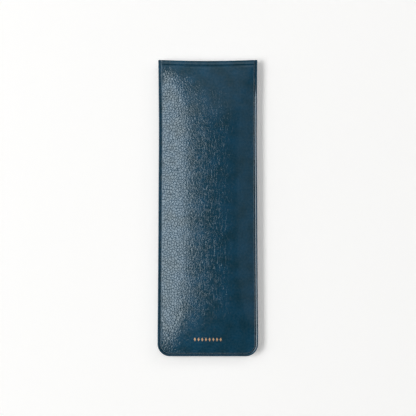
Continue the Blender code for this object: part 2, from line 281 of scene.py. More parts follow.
def corner_rounded(from_side, from_foot):
    """Turns insets from a square corner into insets along its rounded outline."""
    inset = np.minimum(from_side, from_foot)
    far = np.maximum(from_side, from_foot)
    room = np.maximum(FOOT_CORNER_RADIUS - inset, PARTING)
    turn = math.pi / 4 * (1.0 - clamped((far - inset) / room))
    nearer = FOOT_CORNER_RADIUS - room * np.cos(turn)
    farther = FOOT_CORNER_RADIUS - room * np.sin(turn)
    in_corner = far < FOOT_CORNER_RADIUS
    by_side = from_side <= from_foot
    side = np.where(in_corner, np.where(by_side, nearer, farther), from_side)
    foot = np.where(in_corner, np.where(by_side, farther, nearer), from_foot)
    return side, foot


def cushioned(near, far):
    """Rounds the shoulder's own contour lines where the side meets the foot."""
    shares = [rounded_off((inset - SHOULDER_START) / SHOULDER_RUN) for inset in (near, far)]
    rounder = SHOULDER_START + SHOULDER_RUN * (1.0 - np.sqrt(1.0 - shares[0] * shares[1]))
    in_corner = (near > SHOULDER_START) & (near < SHOULDER_START + SHOULDER_RUN)
    return np.where(in_corner, rounder, near)


def flat_grid(edge_insets, panel_step, alongs):
    """The places of a grid: x, the distance from the foot, and the inset from the outline."""
    panel_start = edge_insets[-1]
    shares = spaced(0.0, 1.0, panel_step / (CASE_WIDTH / 2 - panel_start))[1:]
    edge = np.concatenate([edge_insets, np.full(len(shares), panel_start)])
    inward = np.concatenate([np.zeros(len(edge_insets)), shares])
    along = alongs[:, None]
    from_side = edge + inward * (half_width(along) - panel_start)
    inset = cushioned(np.minimum(from_side, along), np.maximum(from_side, along))
    side, along = corner_rounded(from_side, along + 0.0 * from_side)
    x = half_width(along) - side
    x[:, -1] = 0.0
    both = [np.concatenate([part, part[:, -2::-1]], axis=1) for part in (along, inset)]
    return np.concatenate([-x, x[:, -2::-1]], axis=1), both[0], both[1]


def placed(x, along, height, facing):
    """From the panel's own measures to the frame. Facing is 1 for the front, -1 for the back."""
    across = clamped(np.abs(x) / half_width(along))
    near = eased((along - CASE_LENGTH) / MOUTH_SAG_REACH + 1.0)
    y = along - MOUTH_SAG * (1.0 - across * across) * near + FOOT_Y
    return np.stack([x, y, RIM_PLANE + facing * height], axis=-1)


# %% [markdown]
# ## Closed skins in two halves
# The photograph shows the case shut, but its front has to open. On the real case the front
# stays welded at both sides and its middle bows up. Each front layer is cut along the middle
# line into two halves. The cut ends are closed, and the shading across the cut is worked out on
# the whole skin, so that the cut doesn't show.

# %% Faces of a closed skin
def quads(grid, flipped):
    """Faces between the points of a grid of vertex numbers."""
    corners = [grid[:-1, :-1], grid[:-1, 1:], grid[1:, 1:], grid[1:, :-1]]
    faces = np.stack([corner.ravel() for corner in corners], axis=1)
    return faces[:, ::-1] if flipped else faces


def zipped(upper, lower, flipped):
    """Triangles between two lines of vertices that run side by side."""
    steps = [((k + 1) / (len(upper) - 1), "upper") for k in range(len(upper) - 1)]
    steps += [((k + 1) / (len(lower) - 1), "lower") for k in range(len(lower) - 1)]
    faces, above, below = [], 0, 0
    for _, line in sorted(steps, key=lambda step: step[0]):
        if line == "upper":
            faces.append((upper[above], upper[above + 1], lower[below]))
            above += 1
        else:
            faces.append((upper[above], lower[below + 1], lower[below]))
            below += 1
    faces = np.array(faces)
    return faces[:, ::-1] if flipped else faces


def edge_lines(grid, side):
    """A half's outline from the middle of the foot to the mouth, and on to the middle."""
    middle = grid.shape[1] // 2
    half = grid[:, middle::-1] if side < 0 else grid[:, middle:]
    return np.concatenate([half[0], half[1:, -1]]), half[-1, ::-1]


def middle_line(grid):
    """The points down the middle of a grid, from the mouth to the foot."""
    return grid[::-1, grid.shape[1] // 2]


def half_faces(outer, inner, side, facing):
    """One half's own faces, and the faces that close it along the cut."""
    faces = []
    for grid, flipped in ((outer, facing < 0), (inner, facing > 0)):
        middle = grid.shape[1] // 2
        faces.append(quads(grid[:, : middle + 1] if side < 0 else grid[:, middle:], flipped))
    turned = (side > 0) != (facing < 0)
    for upper, lower in zip(edge_lines(outer, side), edge_lines(inner, side)):
        faces.append(zipped(upper, lower, turned))
    return faces, zipped(middle_line(outer), middle_line(inner), turned)


class Skin:
    """A closed layer of one panel: its points, its faces in halves, and its own measures."""

    def __init__(self, outer, inner, facing):
        flat = [np.stack([part.ravel() for part in grid], axis=1) for grid in (outer, inner)]
        self.measures = np.concatenate(flat)
        x, along, inset, height = self.measures.T
        self.points = placed(x, along, height, facing)
        self.outer_count = outer[0].size
        numbers = np.arange(len(self.points))
        self.outer = numbers[: self.outer_count].reshape(outer[0].shape)
        behind = numbers[self.outer_count :].reshape(inner[0].shape)
        self.halves = {side: half_faces(self.outer, behind, side, facing) for side in (-1, 1)}

    def faces(self, sides=(-1, 1)):
        """The faces of some sides, as lists of vertex numbers."""
        return [face for side in sides for part in self.halves[side][0] for face in part.tolist()]

    def cut(self, side):
        """The faces that close one half along the middle line."""
        return self.halves[side][1].tolist()


# %% Plain meshes from points and faces
def made_mesh(name, points, faces):
    """A smooth mesh object at the origin."""
    data = bpy.data.meshes.new(name)
    data.from_pydata(points.tolist(), [], faces)
    data.shade_smooth()
    made = bpy.data.objects.new(name, data)
    bpy.context.scene.collection.objects.link(made)
    return made


def smooth_normals(points, faces):
    """The mean direction of the faces round each vertex, weighted by their area."""
    total = np.zeros_like(points)
    for count in (3, 4):
        ring = np.array([face for face in faces if len(face) == count])
        if len(ring) == 0:
            continue
        across = points[ring[:, 2]] - points[ring[:, 0]]
        other = points[ring[:, -1]] - points[ring[:, 1]]
        facing = np.cross(across, other)
        for corner in ring.T:
            for axis in range(3):
                total[:, axis] += np.bincount(corner, facing[:, axis], len(points))
    return total / np.maximum(np.linalg.norm(total, axis=1, keepdims=True), 1e-20)


# %% [markdown]
# ## The covers' grids
# The outer face needs lines close together over the bead, the weld's groove and the shoulder,
# where light lines run along the case. Its last rows go round the turned lip in a half
# ellipse, from the crest to the underside, as the real skin is folded over and welded. The
# inner face is hardly seen, so it gets far fewer lines.

# %% Grids of a cover
RIM_STEP = 0.08 * MM
SHOULDER_STEP = 0.1 * MM
LIP_STEP = 0.15 * MM
INNER_STEP = 1.6 * MM
FOLD_STEPS = 14
FOLD_BAND = 0.25 * MM
EDGE_WIDTH = SHOULDER_START + SHOULDER_RUN
LIP_CREST = CASE_LENGTH - LIP_FOLD
LIP_ZONE = CASE_LENGTH - 2.0 * SEAM_FOOT


def cover_outer(crown, step):
    """The outer face of a cover, down over its turned lip to the underside."""
    shoulder = spaced(SHOULDER_START, EDGE_WIDTH, SHOULDER_STEP)
    edge = joined(spaced(0.0, SHOULDER_START, RIM_STEP), shoulder)
    panel = spaced(EDGE_WIDTH, LIP_ZONE, step)
    turn = np.linspace(math.pi / 2, -math.pi / 2, FOLD_STEPS + 1)[1:]
    fold = CASE_LENGTH - LIP_FOLD * (1.0 - np.cos(turn))
    rows = np.concatenate([joined(edge, panel, spaced(LIP_ZONE, LIP_CREST, LIP_STEP)), fold])
    x, along, inset = flat_grid(edge, step, rows)
    puffed = crown(x, along)
    outside = cover_outside(along, inset, puffed)
    under = cover_inside(along, inset, puffed)
    share = np.concatenate([np.ones(len(rows) - len(turn)), (1.0 + np.sin(turn)) / 2])
    return x, along, inset, under + (outside - under) * share[:, None]


def cover_inner(crown):
    """The inner face, which starts behind the folded lip."""
    weld = SHOULDER_START + SHOULDER_WALL
    edge = joined(spaced(0.0, weld, weld / 3), spaced(weld, weld + SHOULDER_RUN, SHOULDER_RUN / 5))
    fold_end = CASE_LENGTH - LIP_FOLD_SHARE * LIP_BEAD_WIDTH
    lip = np.array([CASE_LENGTH - LIP_BEAD_WIDTH, fold_end, LIP_CREST - FOLD_BAND])
    rows = np.concatenate([edge, spaced(edge[-1], lip[0], INNER_STEP)[1:], lip[1:]])
    x, along, inset = flat_grid(edge, INNER_STEP, rows)
    return x, along, inset, cover_inside(along, inset, crown(x, along))


# %% [markdown]
# ## The grain as geometry
# Leathercloth is embossed with a pebbled grain, and where the panel bends over its filling
# the film is creased into long narrow cells. Both follow a rule, so Geometry Nodes make them:
# every point sinks along its own outward direction by a height that two cell patterns and a
# soft ripple give. The heights only sink, so the skin stays inside the solid that it stands
# for. The direction is stored on the points, so both halves move alike along the cut.

# %% Helpers for node trees
SOCKET = bpy.types.NodeSocket
GEOMETRY = {"Geometry": "Geometry"}


def add_node(tree, kind, inputs=None, **settings):
    """A node with its settings. Its inputs are values, or outputs of other nodes."""
    made = tree.nodes.new(kind)
    for name, value in settings.items():
        setattr(made, name, value)
    for key, value in (inputs or {}).items():
        if isinstance(value, SOCKET):
            tree.links.new(value, made.inputs[key])
        else:
            made.inputs[key].default_value = value
    return made


def new_group(name, kind, inputs, outputs):
    """A node group with named inputs and outputs, each of a kind, and what its inputs give."""
    tree = bpy.data.node_groups.new(name, kind)
    for way, sockets in (("INPUT", inputs), ("OUTPUT", outputs)):
        for socket, sort in sockets.items():
            tree.interface.new_socket(socket, in_out=way, socket_type="NodeSocket" + sort)
    return tree, add_node(tree, "NodeGroupInput").outputs


def maths(tree, operation, first, second):
    return add_node(tree, "ShaderNodeMath", {0: first, 1: second}, operation=operation).outputs[0]


def vector_maths(tree, operation, vector, by):
    """A vector added to or multiplied by another one, or scaled by a number."""
    given = {0: vector, "Scale" if operation == "SCALE" else 1: by}
    return add_node(tree, "ShaderNodeVectorMath", given, operation=operation).outputs[0]


def plane_vector(tree, x, y):
    return add_node(tree, "ShaderNodeCombineXYZ", {0: x, 1: y}).outputs[0]


def ranged(tree, value, low=0.0, high=1.0, to_low=0.0, to_high=1.0, kind="LINEAR"):
    """A value taken from one range to another, and kept inside it."""
    given = {0: value, 1: low, 2: high, 3: to_low, 4: to_high}
    return add_node(tree, "ShaderNodeMapRange", given, interpolation_type=kind).outputs[0]


def noise(tree, place, size, detail=1.0, output="Fac"):
    """Soft noise with spots of a size, which is a number or an output."""
    scale = 1.0 / size if isinstance(size, float) else maths(tree, "DIVIDE", 1.0, size)
    given = {"Vector": place, "Scale": scale, "Detail": detail}
    return add_node(tree, "ShaderNodeTexNoise", given).outputs[output]


# %% The cell pattern of the grain
CELL_SIZES = {"Pebble Size": 1.6 * MM, "Crease Length": 4.2 * MM}
# The size of the warp that bends the cells, for cells of size 1
WARP_SIZE = 1.0 / 0.7
# How much longer than wide the pebbles and the creases are, and how far they are warped
PEBBLE_FORM = (1.08, 0.9)
CREASE_FORM = (2.4, 1.5)
# How far from a cell's edge the relief is rounded, as a share of the cell's length
PEBBLE_ROUNDING = 0.5
CREASE_ROUNDING = 0.16


def vein(tree, distance, reach, share=1.0):
    """A V-shaped vein between cells. A smaller share makes it narrower, with walls as steep."""
    near = maths(tree, "SUBTRACT", share, maths(tree, "DIVIDE", distance, reach))
    return maths(tree, "MAXIMUM", near, 0.0)


def from_cell_edge(tree, place, along_size, slimness, warp):
    """The distance to the nearest edge between cells, as a share of a cell's length."""
    along = maths(tree, "DIVIDE", 1.0, along_size)
    stretch = plane_vector(tree, maths(tree, "MULTIPLY", along, slimness), along)
    scaled = vector_maths(tree, "MULTIPLY", place, stretch)
    shift = vector_maths(tree, "SCALE", noise(tree, scaled, WARP_SIZE, output="Color"), warp)
    given = {"Vector": vector_maths(tree, "ADD", scaled, shift), "Scale": 1.0}
    kind = {"feature": "DISTANCE_TO_EDGE", "voronoi_dimensions": "2D"}
    return add_node(tree, "ShaderNodeTexVoronoi", given, **kind).outputs["Distance"]


def grain_cells(tree, place, given):
    """The distances to the edges of the pebbles and of the long creased cells."""
    place = vector_maths(tree, "ADD", place, plane_vector(tree, given["Seed"], given["Seed"]))
    pebble = from_cell_edge(tree, place, given["Pebble Size"], *PEBBLE_FORM)
    crease = from_cell_edge(tree, place, given["Crease Length"], *CREASE_FORM)
    return place, pebble, crease


# %% The relief tree
def real_with_material(tree, geometry, material):
    """The end of a tree: real meshes, with their material set."""
    real = add_node(tree, "GeometryNodeRealizeInstances", {"Geometry": geometry}).outputs[0]
    finished = add_node(tree, "GeometryNodeSetMaterial", {"Geometry": real, "Material": material})
    add_node(tree, "NodeGroupOutput", {0: finished.outputs[0]})


def relief_tree():
    """Sinks a skin's points into domed pebbles, long creases and a soft ripple."""
    names = (*CELL_SIZES, "Ripple Size", "Pebble Depth", "Crease Depth", "Ripple Depth")
    inputs = GEOMETRY | dict.fromkeys(names, "Float") | {"Seed": "Int", "Material": "Material"}
    tree, given = new_group("leathercloth relief", "GeometryNodeTree", inputs, GEOMETRY)

    def stored(name, kind="FLOAT"):
        made = add_node(tree, "GeometryNodeInputNamedAttribute", {"Name": name}, data_type=kind)
        return made.outputs[0]

    def sunk(share, depth):
        return maths(tree, "MULTIPLY", maths(tree, "SUBTRACT", share, 1.0), given[depth])

    def rounded(distance, reach):
        return ranged(tree, distance, 0.0, reach, kind="SMOOTHSTEP")

    place, pebble, crease = grain_cells(tree, stored("place", "FLOAT_VECTOR"), given)
    pebble_sink = sunk(rounded(pebble, PEBBLE_ROUNDING), "Pebble Depth")
    crease_sink = sunk(rounded(crease, CREASE_ROUNDING), "Crease Depth")
    ripple_sink = sunk(noise(tree, place, given["Ripple Size"], 1.5), "Ripple Depth")
    sink = maths(tree, "ADD", pebble_sink, maths(tree, "MULTIPLY", crease_sink, stored("creased")))
    sink = maths(tree, "MULTIPLY", maths(tree, "ADD", sink, ripple_sink), stored("grain"))
    offset = vector_maths(tree, "SCALE", stored("outward", "FLOAT_VECTOR"), sink)
    placing = {"Geometry": given["Geometry"], "Offset": offset}
    moved = add_node(tree, "GeometryNodeSetPosition", placing)
    real_with_material(tree, moved.outputs[0], given["Material"])
    return tree


LEATHERCLOTH_RELIEF = relief_tree()
print("relief tree:", len(LEATHERCLOTH_RELIEF.nodes), "nodes")


# %% Running a tree on a mesh
def shaped_by(made, tree, values):
    """Runs a tree with its inputs set, and gives the result as the object's plain mesh."""
    modifier = made.modifiers.new(tree.name, "NODES")
    modifier.node_group = tree
    for item in tree.interface.items_tree:
        if item.in_out == "INPUT" and item.name in values:
            modifier[item.identifier] = values[item.name]
    graph = bpy.context.evaluated_depsgraph_get()
    result = bpy.data.meshes.new_from_object(made.evaluated_get(graph), depsgraph=graph)
    made.modifiers.remove(modifier)
    made.data = result


def points_of(data):
    found = np.zeros(len(data.vertices) * 3)
    data.vertices.foreach_get("co", found)
    return found.reshape(-1, 3)


def store(data, name, values):
    """Stores a number or a direction on every point of a mesh."""
    vector = values.ndim == 2
    made = data.attributes.new(name, "FLOAT_VECTOR" if vector else "FLOAT", "POINT")
    made.data.foreach_set("vector" if vector else "value", values.ravel())


# %% [markdown]
# ## Finishes
# The covers are a PVC film with a clear gloss over a deep teal-navy ground. The gloss is
# stronger than a plain plastic's, so the shader gets a higher index of refraction, and a rough
# coat, strong and weak in small patches, gives the sheen its soft edge. The ground is duller in
# the valleys of the grain and painted darker there as painted shade, and its tone drifts
# slowly over the skin. The finest grain is finer than the mesh, so one shader group makes it
# for both covers.

# %% The grain group of the covers
GRAIN_SIZES = CELL_SIZES | {
    "Pore Size": 0.35 * MM,
    "Patch Size": 2.2 * MM,
    "Haze Size": 1.3 * MM,
    "Tone Size": 9.0 * MM,
}
# How far the veins and the cushioned walls of the pebbles reach, as shares of a cell's length
PEBBLE_VEIN = 0.145
CREASE_VEIN = 0.1
CUSHION = 0.5
CUSHION_DEPTH = 0.38
PORE_DEPTH = 0.03
# The patch noise above which the film is pebbled: with no grain, its change with full grain,
# and the fade
PEBBLES_FROM = 0.75
PEBBLES_SPREAD = 0.6
PEBBLES_FADE = 0.25
CREASE_PATCHES = (0.3, 0.56, 0.0, 0.75)
HAZE_PATCHES = (0.36, 0.64, 0.2, 0.8)


def grain_group():
    """The same cells as the relief's, drawn finely, with finer pores and a slow change of tone."""
    inputs = dict.fromkeys((*GRAIN_SIZES, "Seed"), "Float")
    outputs = dict.fromkeys(("Height", "Valleys", "Haze", "Tone"), "Float")
    tree, given = new_group("leathercloth grain", "ShaderNodeTree", inputs, outputs)

    def stored(name, output):
        return add_node(tree, "ShaderNodeAttribute", attribute_name=name).outputs[output]

    place, pebble, crease = grain_cells(tree, stored("place", "Vector"), given)
    grain = stored("grain", "Fac")
    patches = noise(tree, place, given["Patch Size"])
    spread = maths(tree, "MULTIPLY", grain, PEBBLES_SPREAD)
    sparse = maths(tree, "SUBTRACT", PEBBLES_FROM, spread)
    pebbled = ranged(tree, patches, sparse, maths(tree, "ADD", sparse, PEBBLES_FADE))
    creases = ranged(tree, patches, *CREASE_PATCHES)
    creases = maths(tree, "MULTIPLY", creases, stored("creased", "Fac"))
    pebble_vein = vein(tree, pebble, PEBBLE_VEIN, pebbled)
    veins = maths(tree, "MAXIMUM", pebble_vein, vein(tree, crease, CREASE_VEIN, creases))
    walls = maths(tree, "MULTIPLY", vein(tree, pebble, CUSHION, pebbled), CUSHION_DEPTH)
    pores = maths(tree, "MULTIPLY", noise(tree, place, given["Pore Size"], 2.0), PORE_DEPTH)
    tops = maths(tree, "SUBTRACT", maths(tree, "MULTIPLY", pores, grain), walls)
    add_node(tree, "NodeGroupOutput", {
        "Height": maths(tree, "SUBTRACT", tops, veins),
        "Valleys": veins,
        "Haze": ranged(tree, noise(tree, place, given["Haze Size"], 2.0), *HAZE_PATCHES),
        "Tone": noise(tree, place, given["Tone Size"], 3.0),
    })
    return tree


LEATHERCLOTH_GRAIN = grain_group()


# %% The materials
def new_material(name, colour, **values):
    """A material with its Principled shader, and the constants set on the shader itself."""
    made = bpy.data.materials.new(name)
    made.use_nodes = True
    made.diffuse_color = (*colour, 1.0)
    shader = made.node_tree.nodes["Principled BSDF"]
    shader.inputs["Base Color"].default_value = (*colour, 1.0)
    for key, value in values.items():
        shader.inputs[key.replace("_", " ")].default_value = value
    return made, made.node_tree, shader


def feed(shader, outputs):
    """Links outputs to a shader's inputs by name."""
    for name, output in outputs.items():
        shader.id_data.links.new(output, shader.inputs[name])


def own_place(tree):
    """Each point's place in its object's own coordinates."""
    return add_node(tree, "ShaderNodeTexCoord").outputs["Object"]


def mixed(tree, share, first, second):
    """A colour between two, which are outputs or plain colours."""
    first, second = (end if isinstance(end, SOCKET) else (*end, 1.0) for end in (first, second))
    given = {0: share, 6: first, 7: second}
    return add_node(tree, "ShaderNodeMix", given, data_type="RGBA").outputs[2]


def varied(tree, value, first, second, low=0.0, high=1.0):
    """A colour that goes from one to another as a value goes from low to high."""
    return mixed(tree, ranged(tree, value, low, high), first, second)


def bumped(tree, height, distance):
    given = {"Height": height, "Distance": distance}
    return add_node(tree, "ShaderNodeBump", given).outputs[0]


def toned(colour, share):
    """A darker or a lighter tone of a colour."""
    return [part * share for part in colour]


# %% The leathercloth
SEEDS = {"front": 3, "back": 8}
DEEP_TONES = {"front": (0.0013, 0.0355, 0.061), "back": (0.0013, 0.0355, 0.06)}
LIGHT_TONES = {"front": (0.002, 0.052, 0.101), "back": (0.002, 0.051, 0.099)}
FILM_GLOSS = {"IOR": 1.75, "Specular_Tint": (0.82, 0.94, 1.0, 1.0), "Coat_Roughness": 0.4}
FILM_ROUGHNESS = (0.1, 0.2)
TONE_RANGE = (0.35, 0.65)
# Painted shade in the valleys of the grain: how far the ground is mixed towards a darker tone
# there, and that tone's share of the deep colour
VALLEY_SHADE_MIX = 0.5
VALLEY_PAINTED_SHADE = 0.5
GRAIN_DEPTH = 0.062 * MM


def leathercloth(panel):
    """Glossy film over a ground that is duller in the valleys of the grain and painted darker there
    as painted shade.
    """
    deep = DEEP_TONES[panel]
    made, tree, shader = new_material(f"{panel} leathercloth", deep, **FILM_GLOSS)
    grain = add_node(tree, "ShaderNodeGroup", node_tree=LEATHERCLOTH_GRAIN)
    for key, value in (GRAIN_SIZES | {"Seed": SEEDS[panel]}).items():
        grain.inputs[key].default_value = value
    grain = grain.outputs
    ground = varied(tree, grain["Tone"], deep, LIGHT_TONES[panel], *TONE_RANGE)
    shade = maths(tree, "MULTIPLY", grain["Valleys"], VALLEY_SHADE_MIX)
    feed(shader, {
        "Base Color": mixed(tree, shade, ground, toned(deep, VALLEY_PAINTED_SHADE)),
        "Roughness": ranged(tree, grain["Valleys"], 0.0, 1.0, *FILM_ROUGHNESS),
        "Coat Weight": grain["Haze"],
        "Normal": bumped(tree, grain["Height"], GRAIN_DEPTH),
    })
    return made


LEATHERCLOTH = {panel: leathercloth(panel) for panel in ("front", "back")}
print("leathercloth:", len(LEATHERCLOTH), "tones")


# %% [markdown]
# ## The front panel as cloth
# The formulas give a film without a wrinkle. A real one has a little more skin than it needs,
# and the spare skin gathers beside the weld and under the lip. The front panel is therefore
# run as cloth: held along the weld and the lip, blown out a little from inside, with its skin
# slightly too large. The run works on a copy ten times the size, because cloth is unsteady at
# a few millimetres. The crown was measured, so only the wrinkles of the run are kept.

# %% A run of cloth
CLOTH_STEP = 1.8 * MM
CLOTH_SCALE = 10.0
CLOTH_FRAMES = 20
CLOTH_EXTRA = 0.006
CLOTH_PRESSURE = 4.0
WRINKLE_SHARE = 0.3
WRINKLE_LIMIT = 0.12 * MM
FINE_SOFTENING = 2
BROAD_SOFTENING = 40
CLOTH_ROWS = spaced(RIM_WIDTH, CASE_LENGTH - SEAM_FOOT, CLOTH_STEP)
CLOTH_COLUMNS = spaced(-1.0, 1.0, CLOTH_STEP / (CASE_WIDTH / 2 - RIM_WIDTH))


def settled_heights(points, numbers):
    """The heights of a held grid of points after a run of cloth."""
    film = made_mesh("film", points * CLOTH_SCALE, quads(numbers, False).tolist())
    held = np.concatenate([numbers[0], numbers[-1], numbers[:, 0], numbers[:, -1]])
    film.vertex_groups.new(name="held").add(held.tolist(), 1.0, "REPLACE")
    cloth = film.modifiers.new("cloth", "CLOTH")
    cloth.settings.vertex_group_mass = "held"
    cloth.settings.use_pressure = True
    cloth.settings.uniform_pressure_force = CLOTH_PRESSURE
    cloth.settings.shrink_min = -CLOTH_EXTRA
    cloth.settings.effector_weights.gravity = 0.0
    cloth.collision_settings.use_collision = False
    for number in range(1, CLOTH_FRAMES + 1):
        bpy.context.scene.frame_set(number)
    graph = bpy.context.evaluated_depsgraph_get()
    settled = points_of(film.evaluated_get(graph).data) / CLOTH_SCALE
    bpy.context.scene.frame_set(1)
    bpy.data.objects.remove(film)
    return settled[:, 2].reshape(numbers.shape)


def softened(grid, times):
    """A grid averaged with its neighbours, and held at 0 along its edges."""
    for _ in range(times):
        wide = np.pad(grid, 1)
        beside = wide[:-2, 1:-1] + wide[2:, 1:-1] + wide[1:-1, :-2] + wide[1:-1, 2:]
        grid = (beside + 4.0 * grid) / 8.0
    return grid


def sampled(grid, row, column):
    """Reads a grid smoothly between its points."""
    total = 0.0 * row
    weights = []
    for place, count in ((row, grid.shape[0]), (column, grid.shape[1])):
        low = np.floor(place)
        t = place - low
        curve = ((1 - t) ** 3, 3 * t**3 - 6 * t**2 + 4, -3 * t**3 + 3 * t**2 + 3 * t + 1, t**3)
        first = low.astype(int) - 1
        weights.append([(np.clip(first + k, 0, count - 1), w / 6) for k, w in enumerate(curve)])
    for rows, row_weight in weights[0]:
        for columns, column_weight in weights[1]:
            total = total + grid[rows, columns] * row_weight * column_weight
    return total


cloth_along, cloth_across = np.meshgrid(CLOTH_ROWS, CLOTH_COLUMNS, indexing="ij")
cloth_x = cloth_across * (half_width(cloth_along) - RIM_WIDTH)
cloth_start = FRONT_CROWN * crown_share(cloth_x, cloth_along)
cloth_points = np.stack([cloth_x, cloth_along, cloth_start], axis=-1).reshape(-1, 3)
cloth_numbers = np.arange(cloth_x.size).reshape(cloth_x.shape)
change = settled_heights(cloth_points, cloth_numbers) - cloth_start
wrinkles = WRINKLE_SHARE * (softened(change, FINE_SOFTENING) - softened(change, BROAD_SOFTENING))
WRINKLES = WRINKLE_LIMIT * np.tanh(wrinkles / WRINKLE_LIMIT)
print(
    f"cloth: {cloth_x.size} points, raised {change.max() / MM:.2f} mm,",
    f"wrinkles {WRINKLES.min() / MM:.3f} to {WRINKLES.max() / MM:.3f} mm",
    f"spread {WRINKLES.std() / MM:.3f} mm",
)

# %% [markdown]
# ## The two covers
# Relief fades where the film is pressed flat: on the weld, round the turned lip and under the
# foil. Below the lip the strip holds the film smooth, and the grain grows out of that over
# some twenty millimetres. The long creases lie over the middle of the upper panel, where it
# bends most when the mouth is squeezed.

# %% Where the relief is strong
PANEL_STEP = 0.31 * MM
BACK_STEP = 0.55 * MM
FOIL_HEIGHT = 10.6 * MM
FOIL_ROOM = (10.5 * MM, 2.8 * MM)
FOIL_FADE = (1.5 * MM, 1.0 * MM)
WELD_FADE = 1.0 * MM
# How far below the lip the strip holds the film smooth, at the sides and more in the middle
SMOOTH_AT_SIDE = 1.5 * MM
SMOOTH_IN_MIDDLE = 22.0 * MM
# The grain's share right under the lip, and what it loses under the foil, near the foot and
# on the right
UNDER_LIP = 0.35
LOST_UNDER_FOIL = 0.9
LOST_NEAR_FOOT = 0.55
LOST_ON_RIGHT = 0.7
# Where these losses start, and the lengths over which they fade or grow
FOOT_ZONE = 10.0 * MM
FOOT_FADE = 30.0 * MM
LEFT_EDGE = -24.0 * MM
FOOT_GROWS = 10.0 * MM
RIGHT_GROWS = 38.0 * MM
# Where the long creases lie, across and up from the foot: from, to, and the fade
CREASED_ACROSS = (-7.0 * MM, 9.0 * MM, 12.0 * MM)
CREASED_ALONG = (40.0 * MM, 145.0 * MM, 30.0 * MM)


def bump_over(value, low, high, fade):
    """1 between two places, eased to 0 over a distance outside them."""
    return eased((value - low) / fade + 1.0) * eased((high - value) / fade + 1.0)


def grain_share(x, along, inset):
    """How deep the grain is, from 0 where the film is pressed to 1 on the free panel."""
    depth = CASE_LENGTH - along
    off_weld = eased((inset - RIM_WIDTH) / WELD_FADE)
    across = clamped(np.abs(x) / half_width(along))
    held_smooth = SMOOTH_AT_SIDE + (1.0 - across) * SMOOTH_IN_MIDDLE
    under_lip = UNDER_LIP + (1.0 - UNDER_LIP) * eased((depth - SEAM_FOOT) / held_smooth)
    foil = 1.0
    for place, room, fade in zip((x, along - FOIL_HEIGHT), FOIL_ROOM, FOIL_FADE):
        foil = foil * eased((room - np.abs(place)) / fade)
    foot = (1.0 - eased((along - FOOT_ZONE) / FOOT_FADE)) * eased((x - LEFT_EDGE) / FOOT_GROWS)
    near_foot = 1.0 - LOST_NEAR_FOOT * foot
    on_right = 1.0 - LOST_ON_RIGHT * eased((x - LEFT_EDGE) / RIGHT_GROWS)
    return off_weld * under_lip * near_foot * on_right * (1.0 - LOST_UNDER_FOIL * foil)


def creased_share(x, along):
    return bump_over(x, *CREASED_ACROSS) * bump_over(along, *CREASED_ALONG)


# %% Making a cover
def front_crown(x, along):
    """The front panel's crown, with its wrinkles and dents."""
    row = (along - CLOTH_ROWS[0]) / (CLOTH_ROWS[1] - CLOTH_ROWS[0])
    across = x / (half_width(along) - RIM_WIDTH)
    column = (across + 1.0) / (CLOTH_COLUMNS[1] - CLOTH_COLUMNS[0])
    crown = FRONT_CROWN * crown_share(x, along) + sampled(WRINKLES, row, column)
    for middle, up, spread_x, spread_y, depth in DENTS:
        away = ((x - middle) / spread_x) ** 2 + ((along - up) / spread_y) ** 2
        crown = crown - depth * np.exp(-away)
    return crown


def prepared(name, skin, finish, side=None):
    """A skin, or one half of it, with what the relief tree reads stored on its points."""
    faces = skin.faces() if side is None else skin.faces((side,)) + skin.cut(side)
    used = np.unique(np.concatenate([np.array(face) for face in faces]))
    renumbered = np.full(len(skin.points), -1)
    renumbered[used] = np.arange(len(used))
    made = made_mesh(name, skin.points[used], [renumbered[face].tolist() for face in faces])
    x, along, inset = skin.measures[used, :3].T
    outside = used < skin.outer_count
    store(made.data, "place", np.stack([x, along, 0.0 * x], axis=1))
    store(made.data, "grain", grain_share(x, along, inset) * outside)
    store(made.data, "creased", creased_share(x, along) * outside)
    store(made.data, "outward", smooth_normals(skin.points, skin.faces())[used])
    made.data.materials.append(finish)
    return made, used


def shade_as_whole(pieces, skin):
    """Gives the halves of a skin the shading of the whole, so that the cut can't be seen."""
    points = skin.points.copy()
    for made, used in pieces.values():
        points[used] = points_of(made.data)
    normals = smooth_normals(points, skin.faces())
    for side, (made, _) in pieces.items():
        own = np.concatenate([np.array(face) for face in skin.faces((side,))])
        straight = np.tile((-float(side), 0.0, 0.0), (3 * len(skin.cut(side)), 1))
        made.data.normals_split_custom_set(np.concatenate([normals[own], straight]).tolist())
    return points


SIDES = {-1: "left", 1: "right"}
RELIEF = CELL_SIZES | {
    "Pebble Depth": 0.012 * MM,
    "Crease Depth": 0.03 * MM,
    "Ripple Size": 9.0 * MM,
}
RIPPLE_DEPTHS = {"front": 0.16 * MM, "back": 0.05 * MM}


def embossed(made, panel):
    """Presses the relief of a panel into its cover."""
    own = {"Ripple Depth": RIPPLE_DEPTHS[panel], "Seed": SEEDS[panel]}
    shaped_by(made, LEATHERCLOTH_RELIEF, RELIEF | own | {"Material": LEATHERCLOTH[panel]})


front_skin = Skin(cover_outer(front_crown, PANEL_STEP), cover_inner(front_crown), 1)
front_halves = {}
for side, word in SIDES.items():
    front_halves[side] = prepared(f"front_cover_{word}", front_skin, LEATHERCLOTH["front"], side)
    embossed(front_halves[side][0], "front")
front_points = shade_as_whole(front_halves, front_skin)
print("front cover:", len(front_points), "points in two halves")

# %% [markdown]
# ## The foil row
# Low on the front lies a plain row of lozenges in copper foil. The foil is pressed onto the
# film, so each lozenge is dropped onto the finished skin and lies a few hundredths of a
# millimetre proud of it.

# %% The foil row
FOIL_WIDTH = 1.3 * MM
FOIL_LENGTH = 2.4 * MM
FOIL_THICKNESS = 0.03 * MM
FOIL_LIFT = 0.012 * MM
FOIL_SPACING = 2.2 * MM
FOIL_A_SIDE = 4
FOIL_WEAR = 0.5 * MM


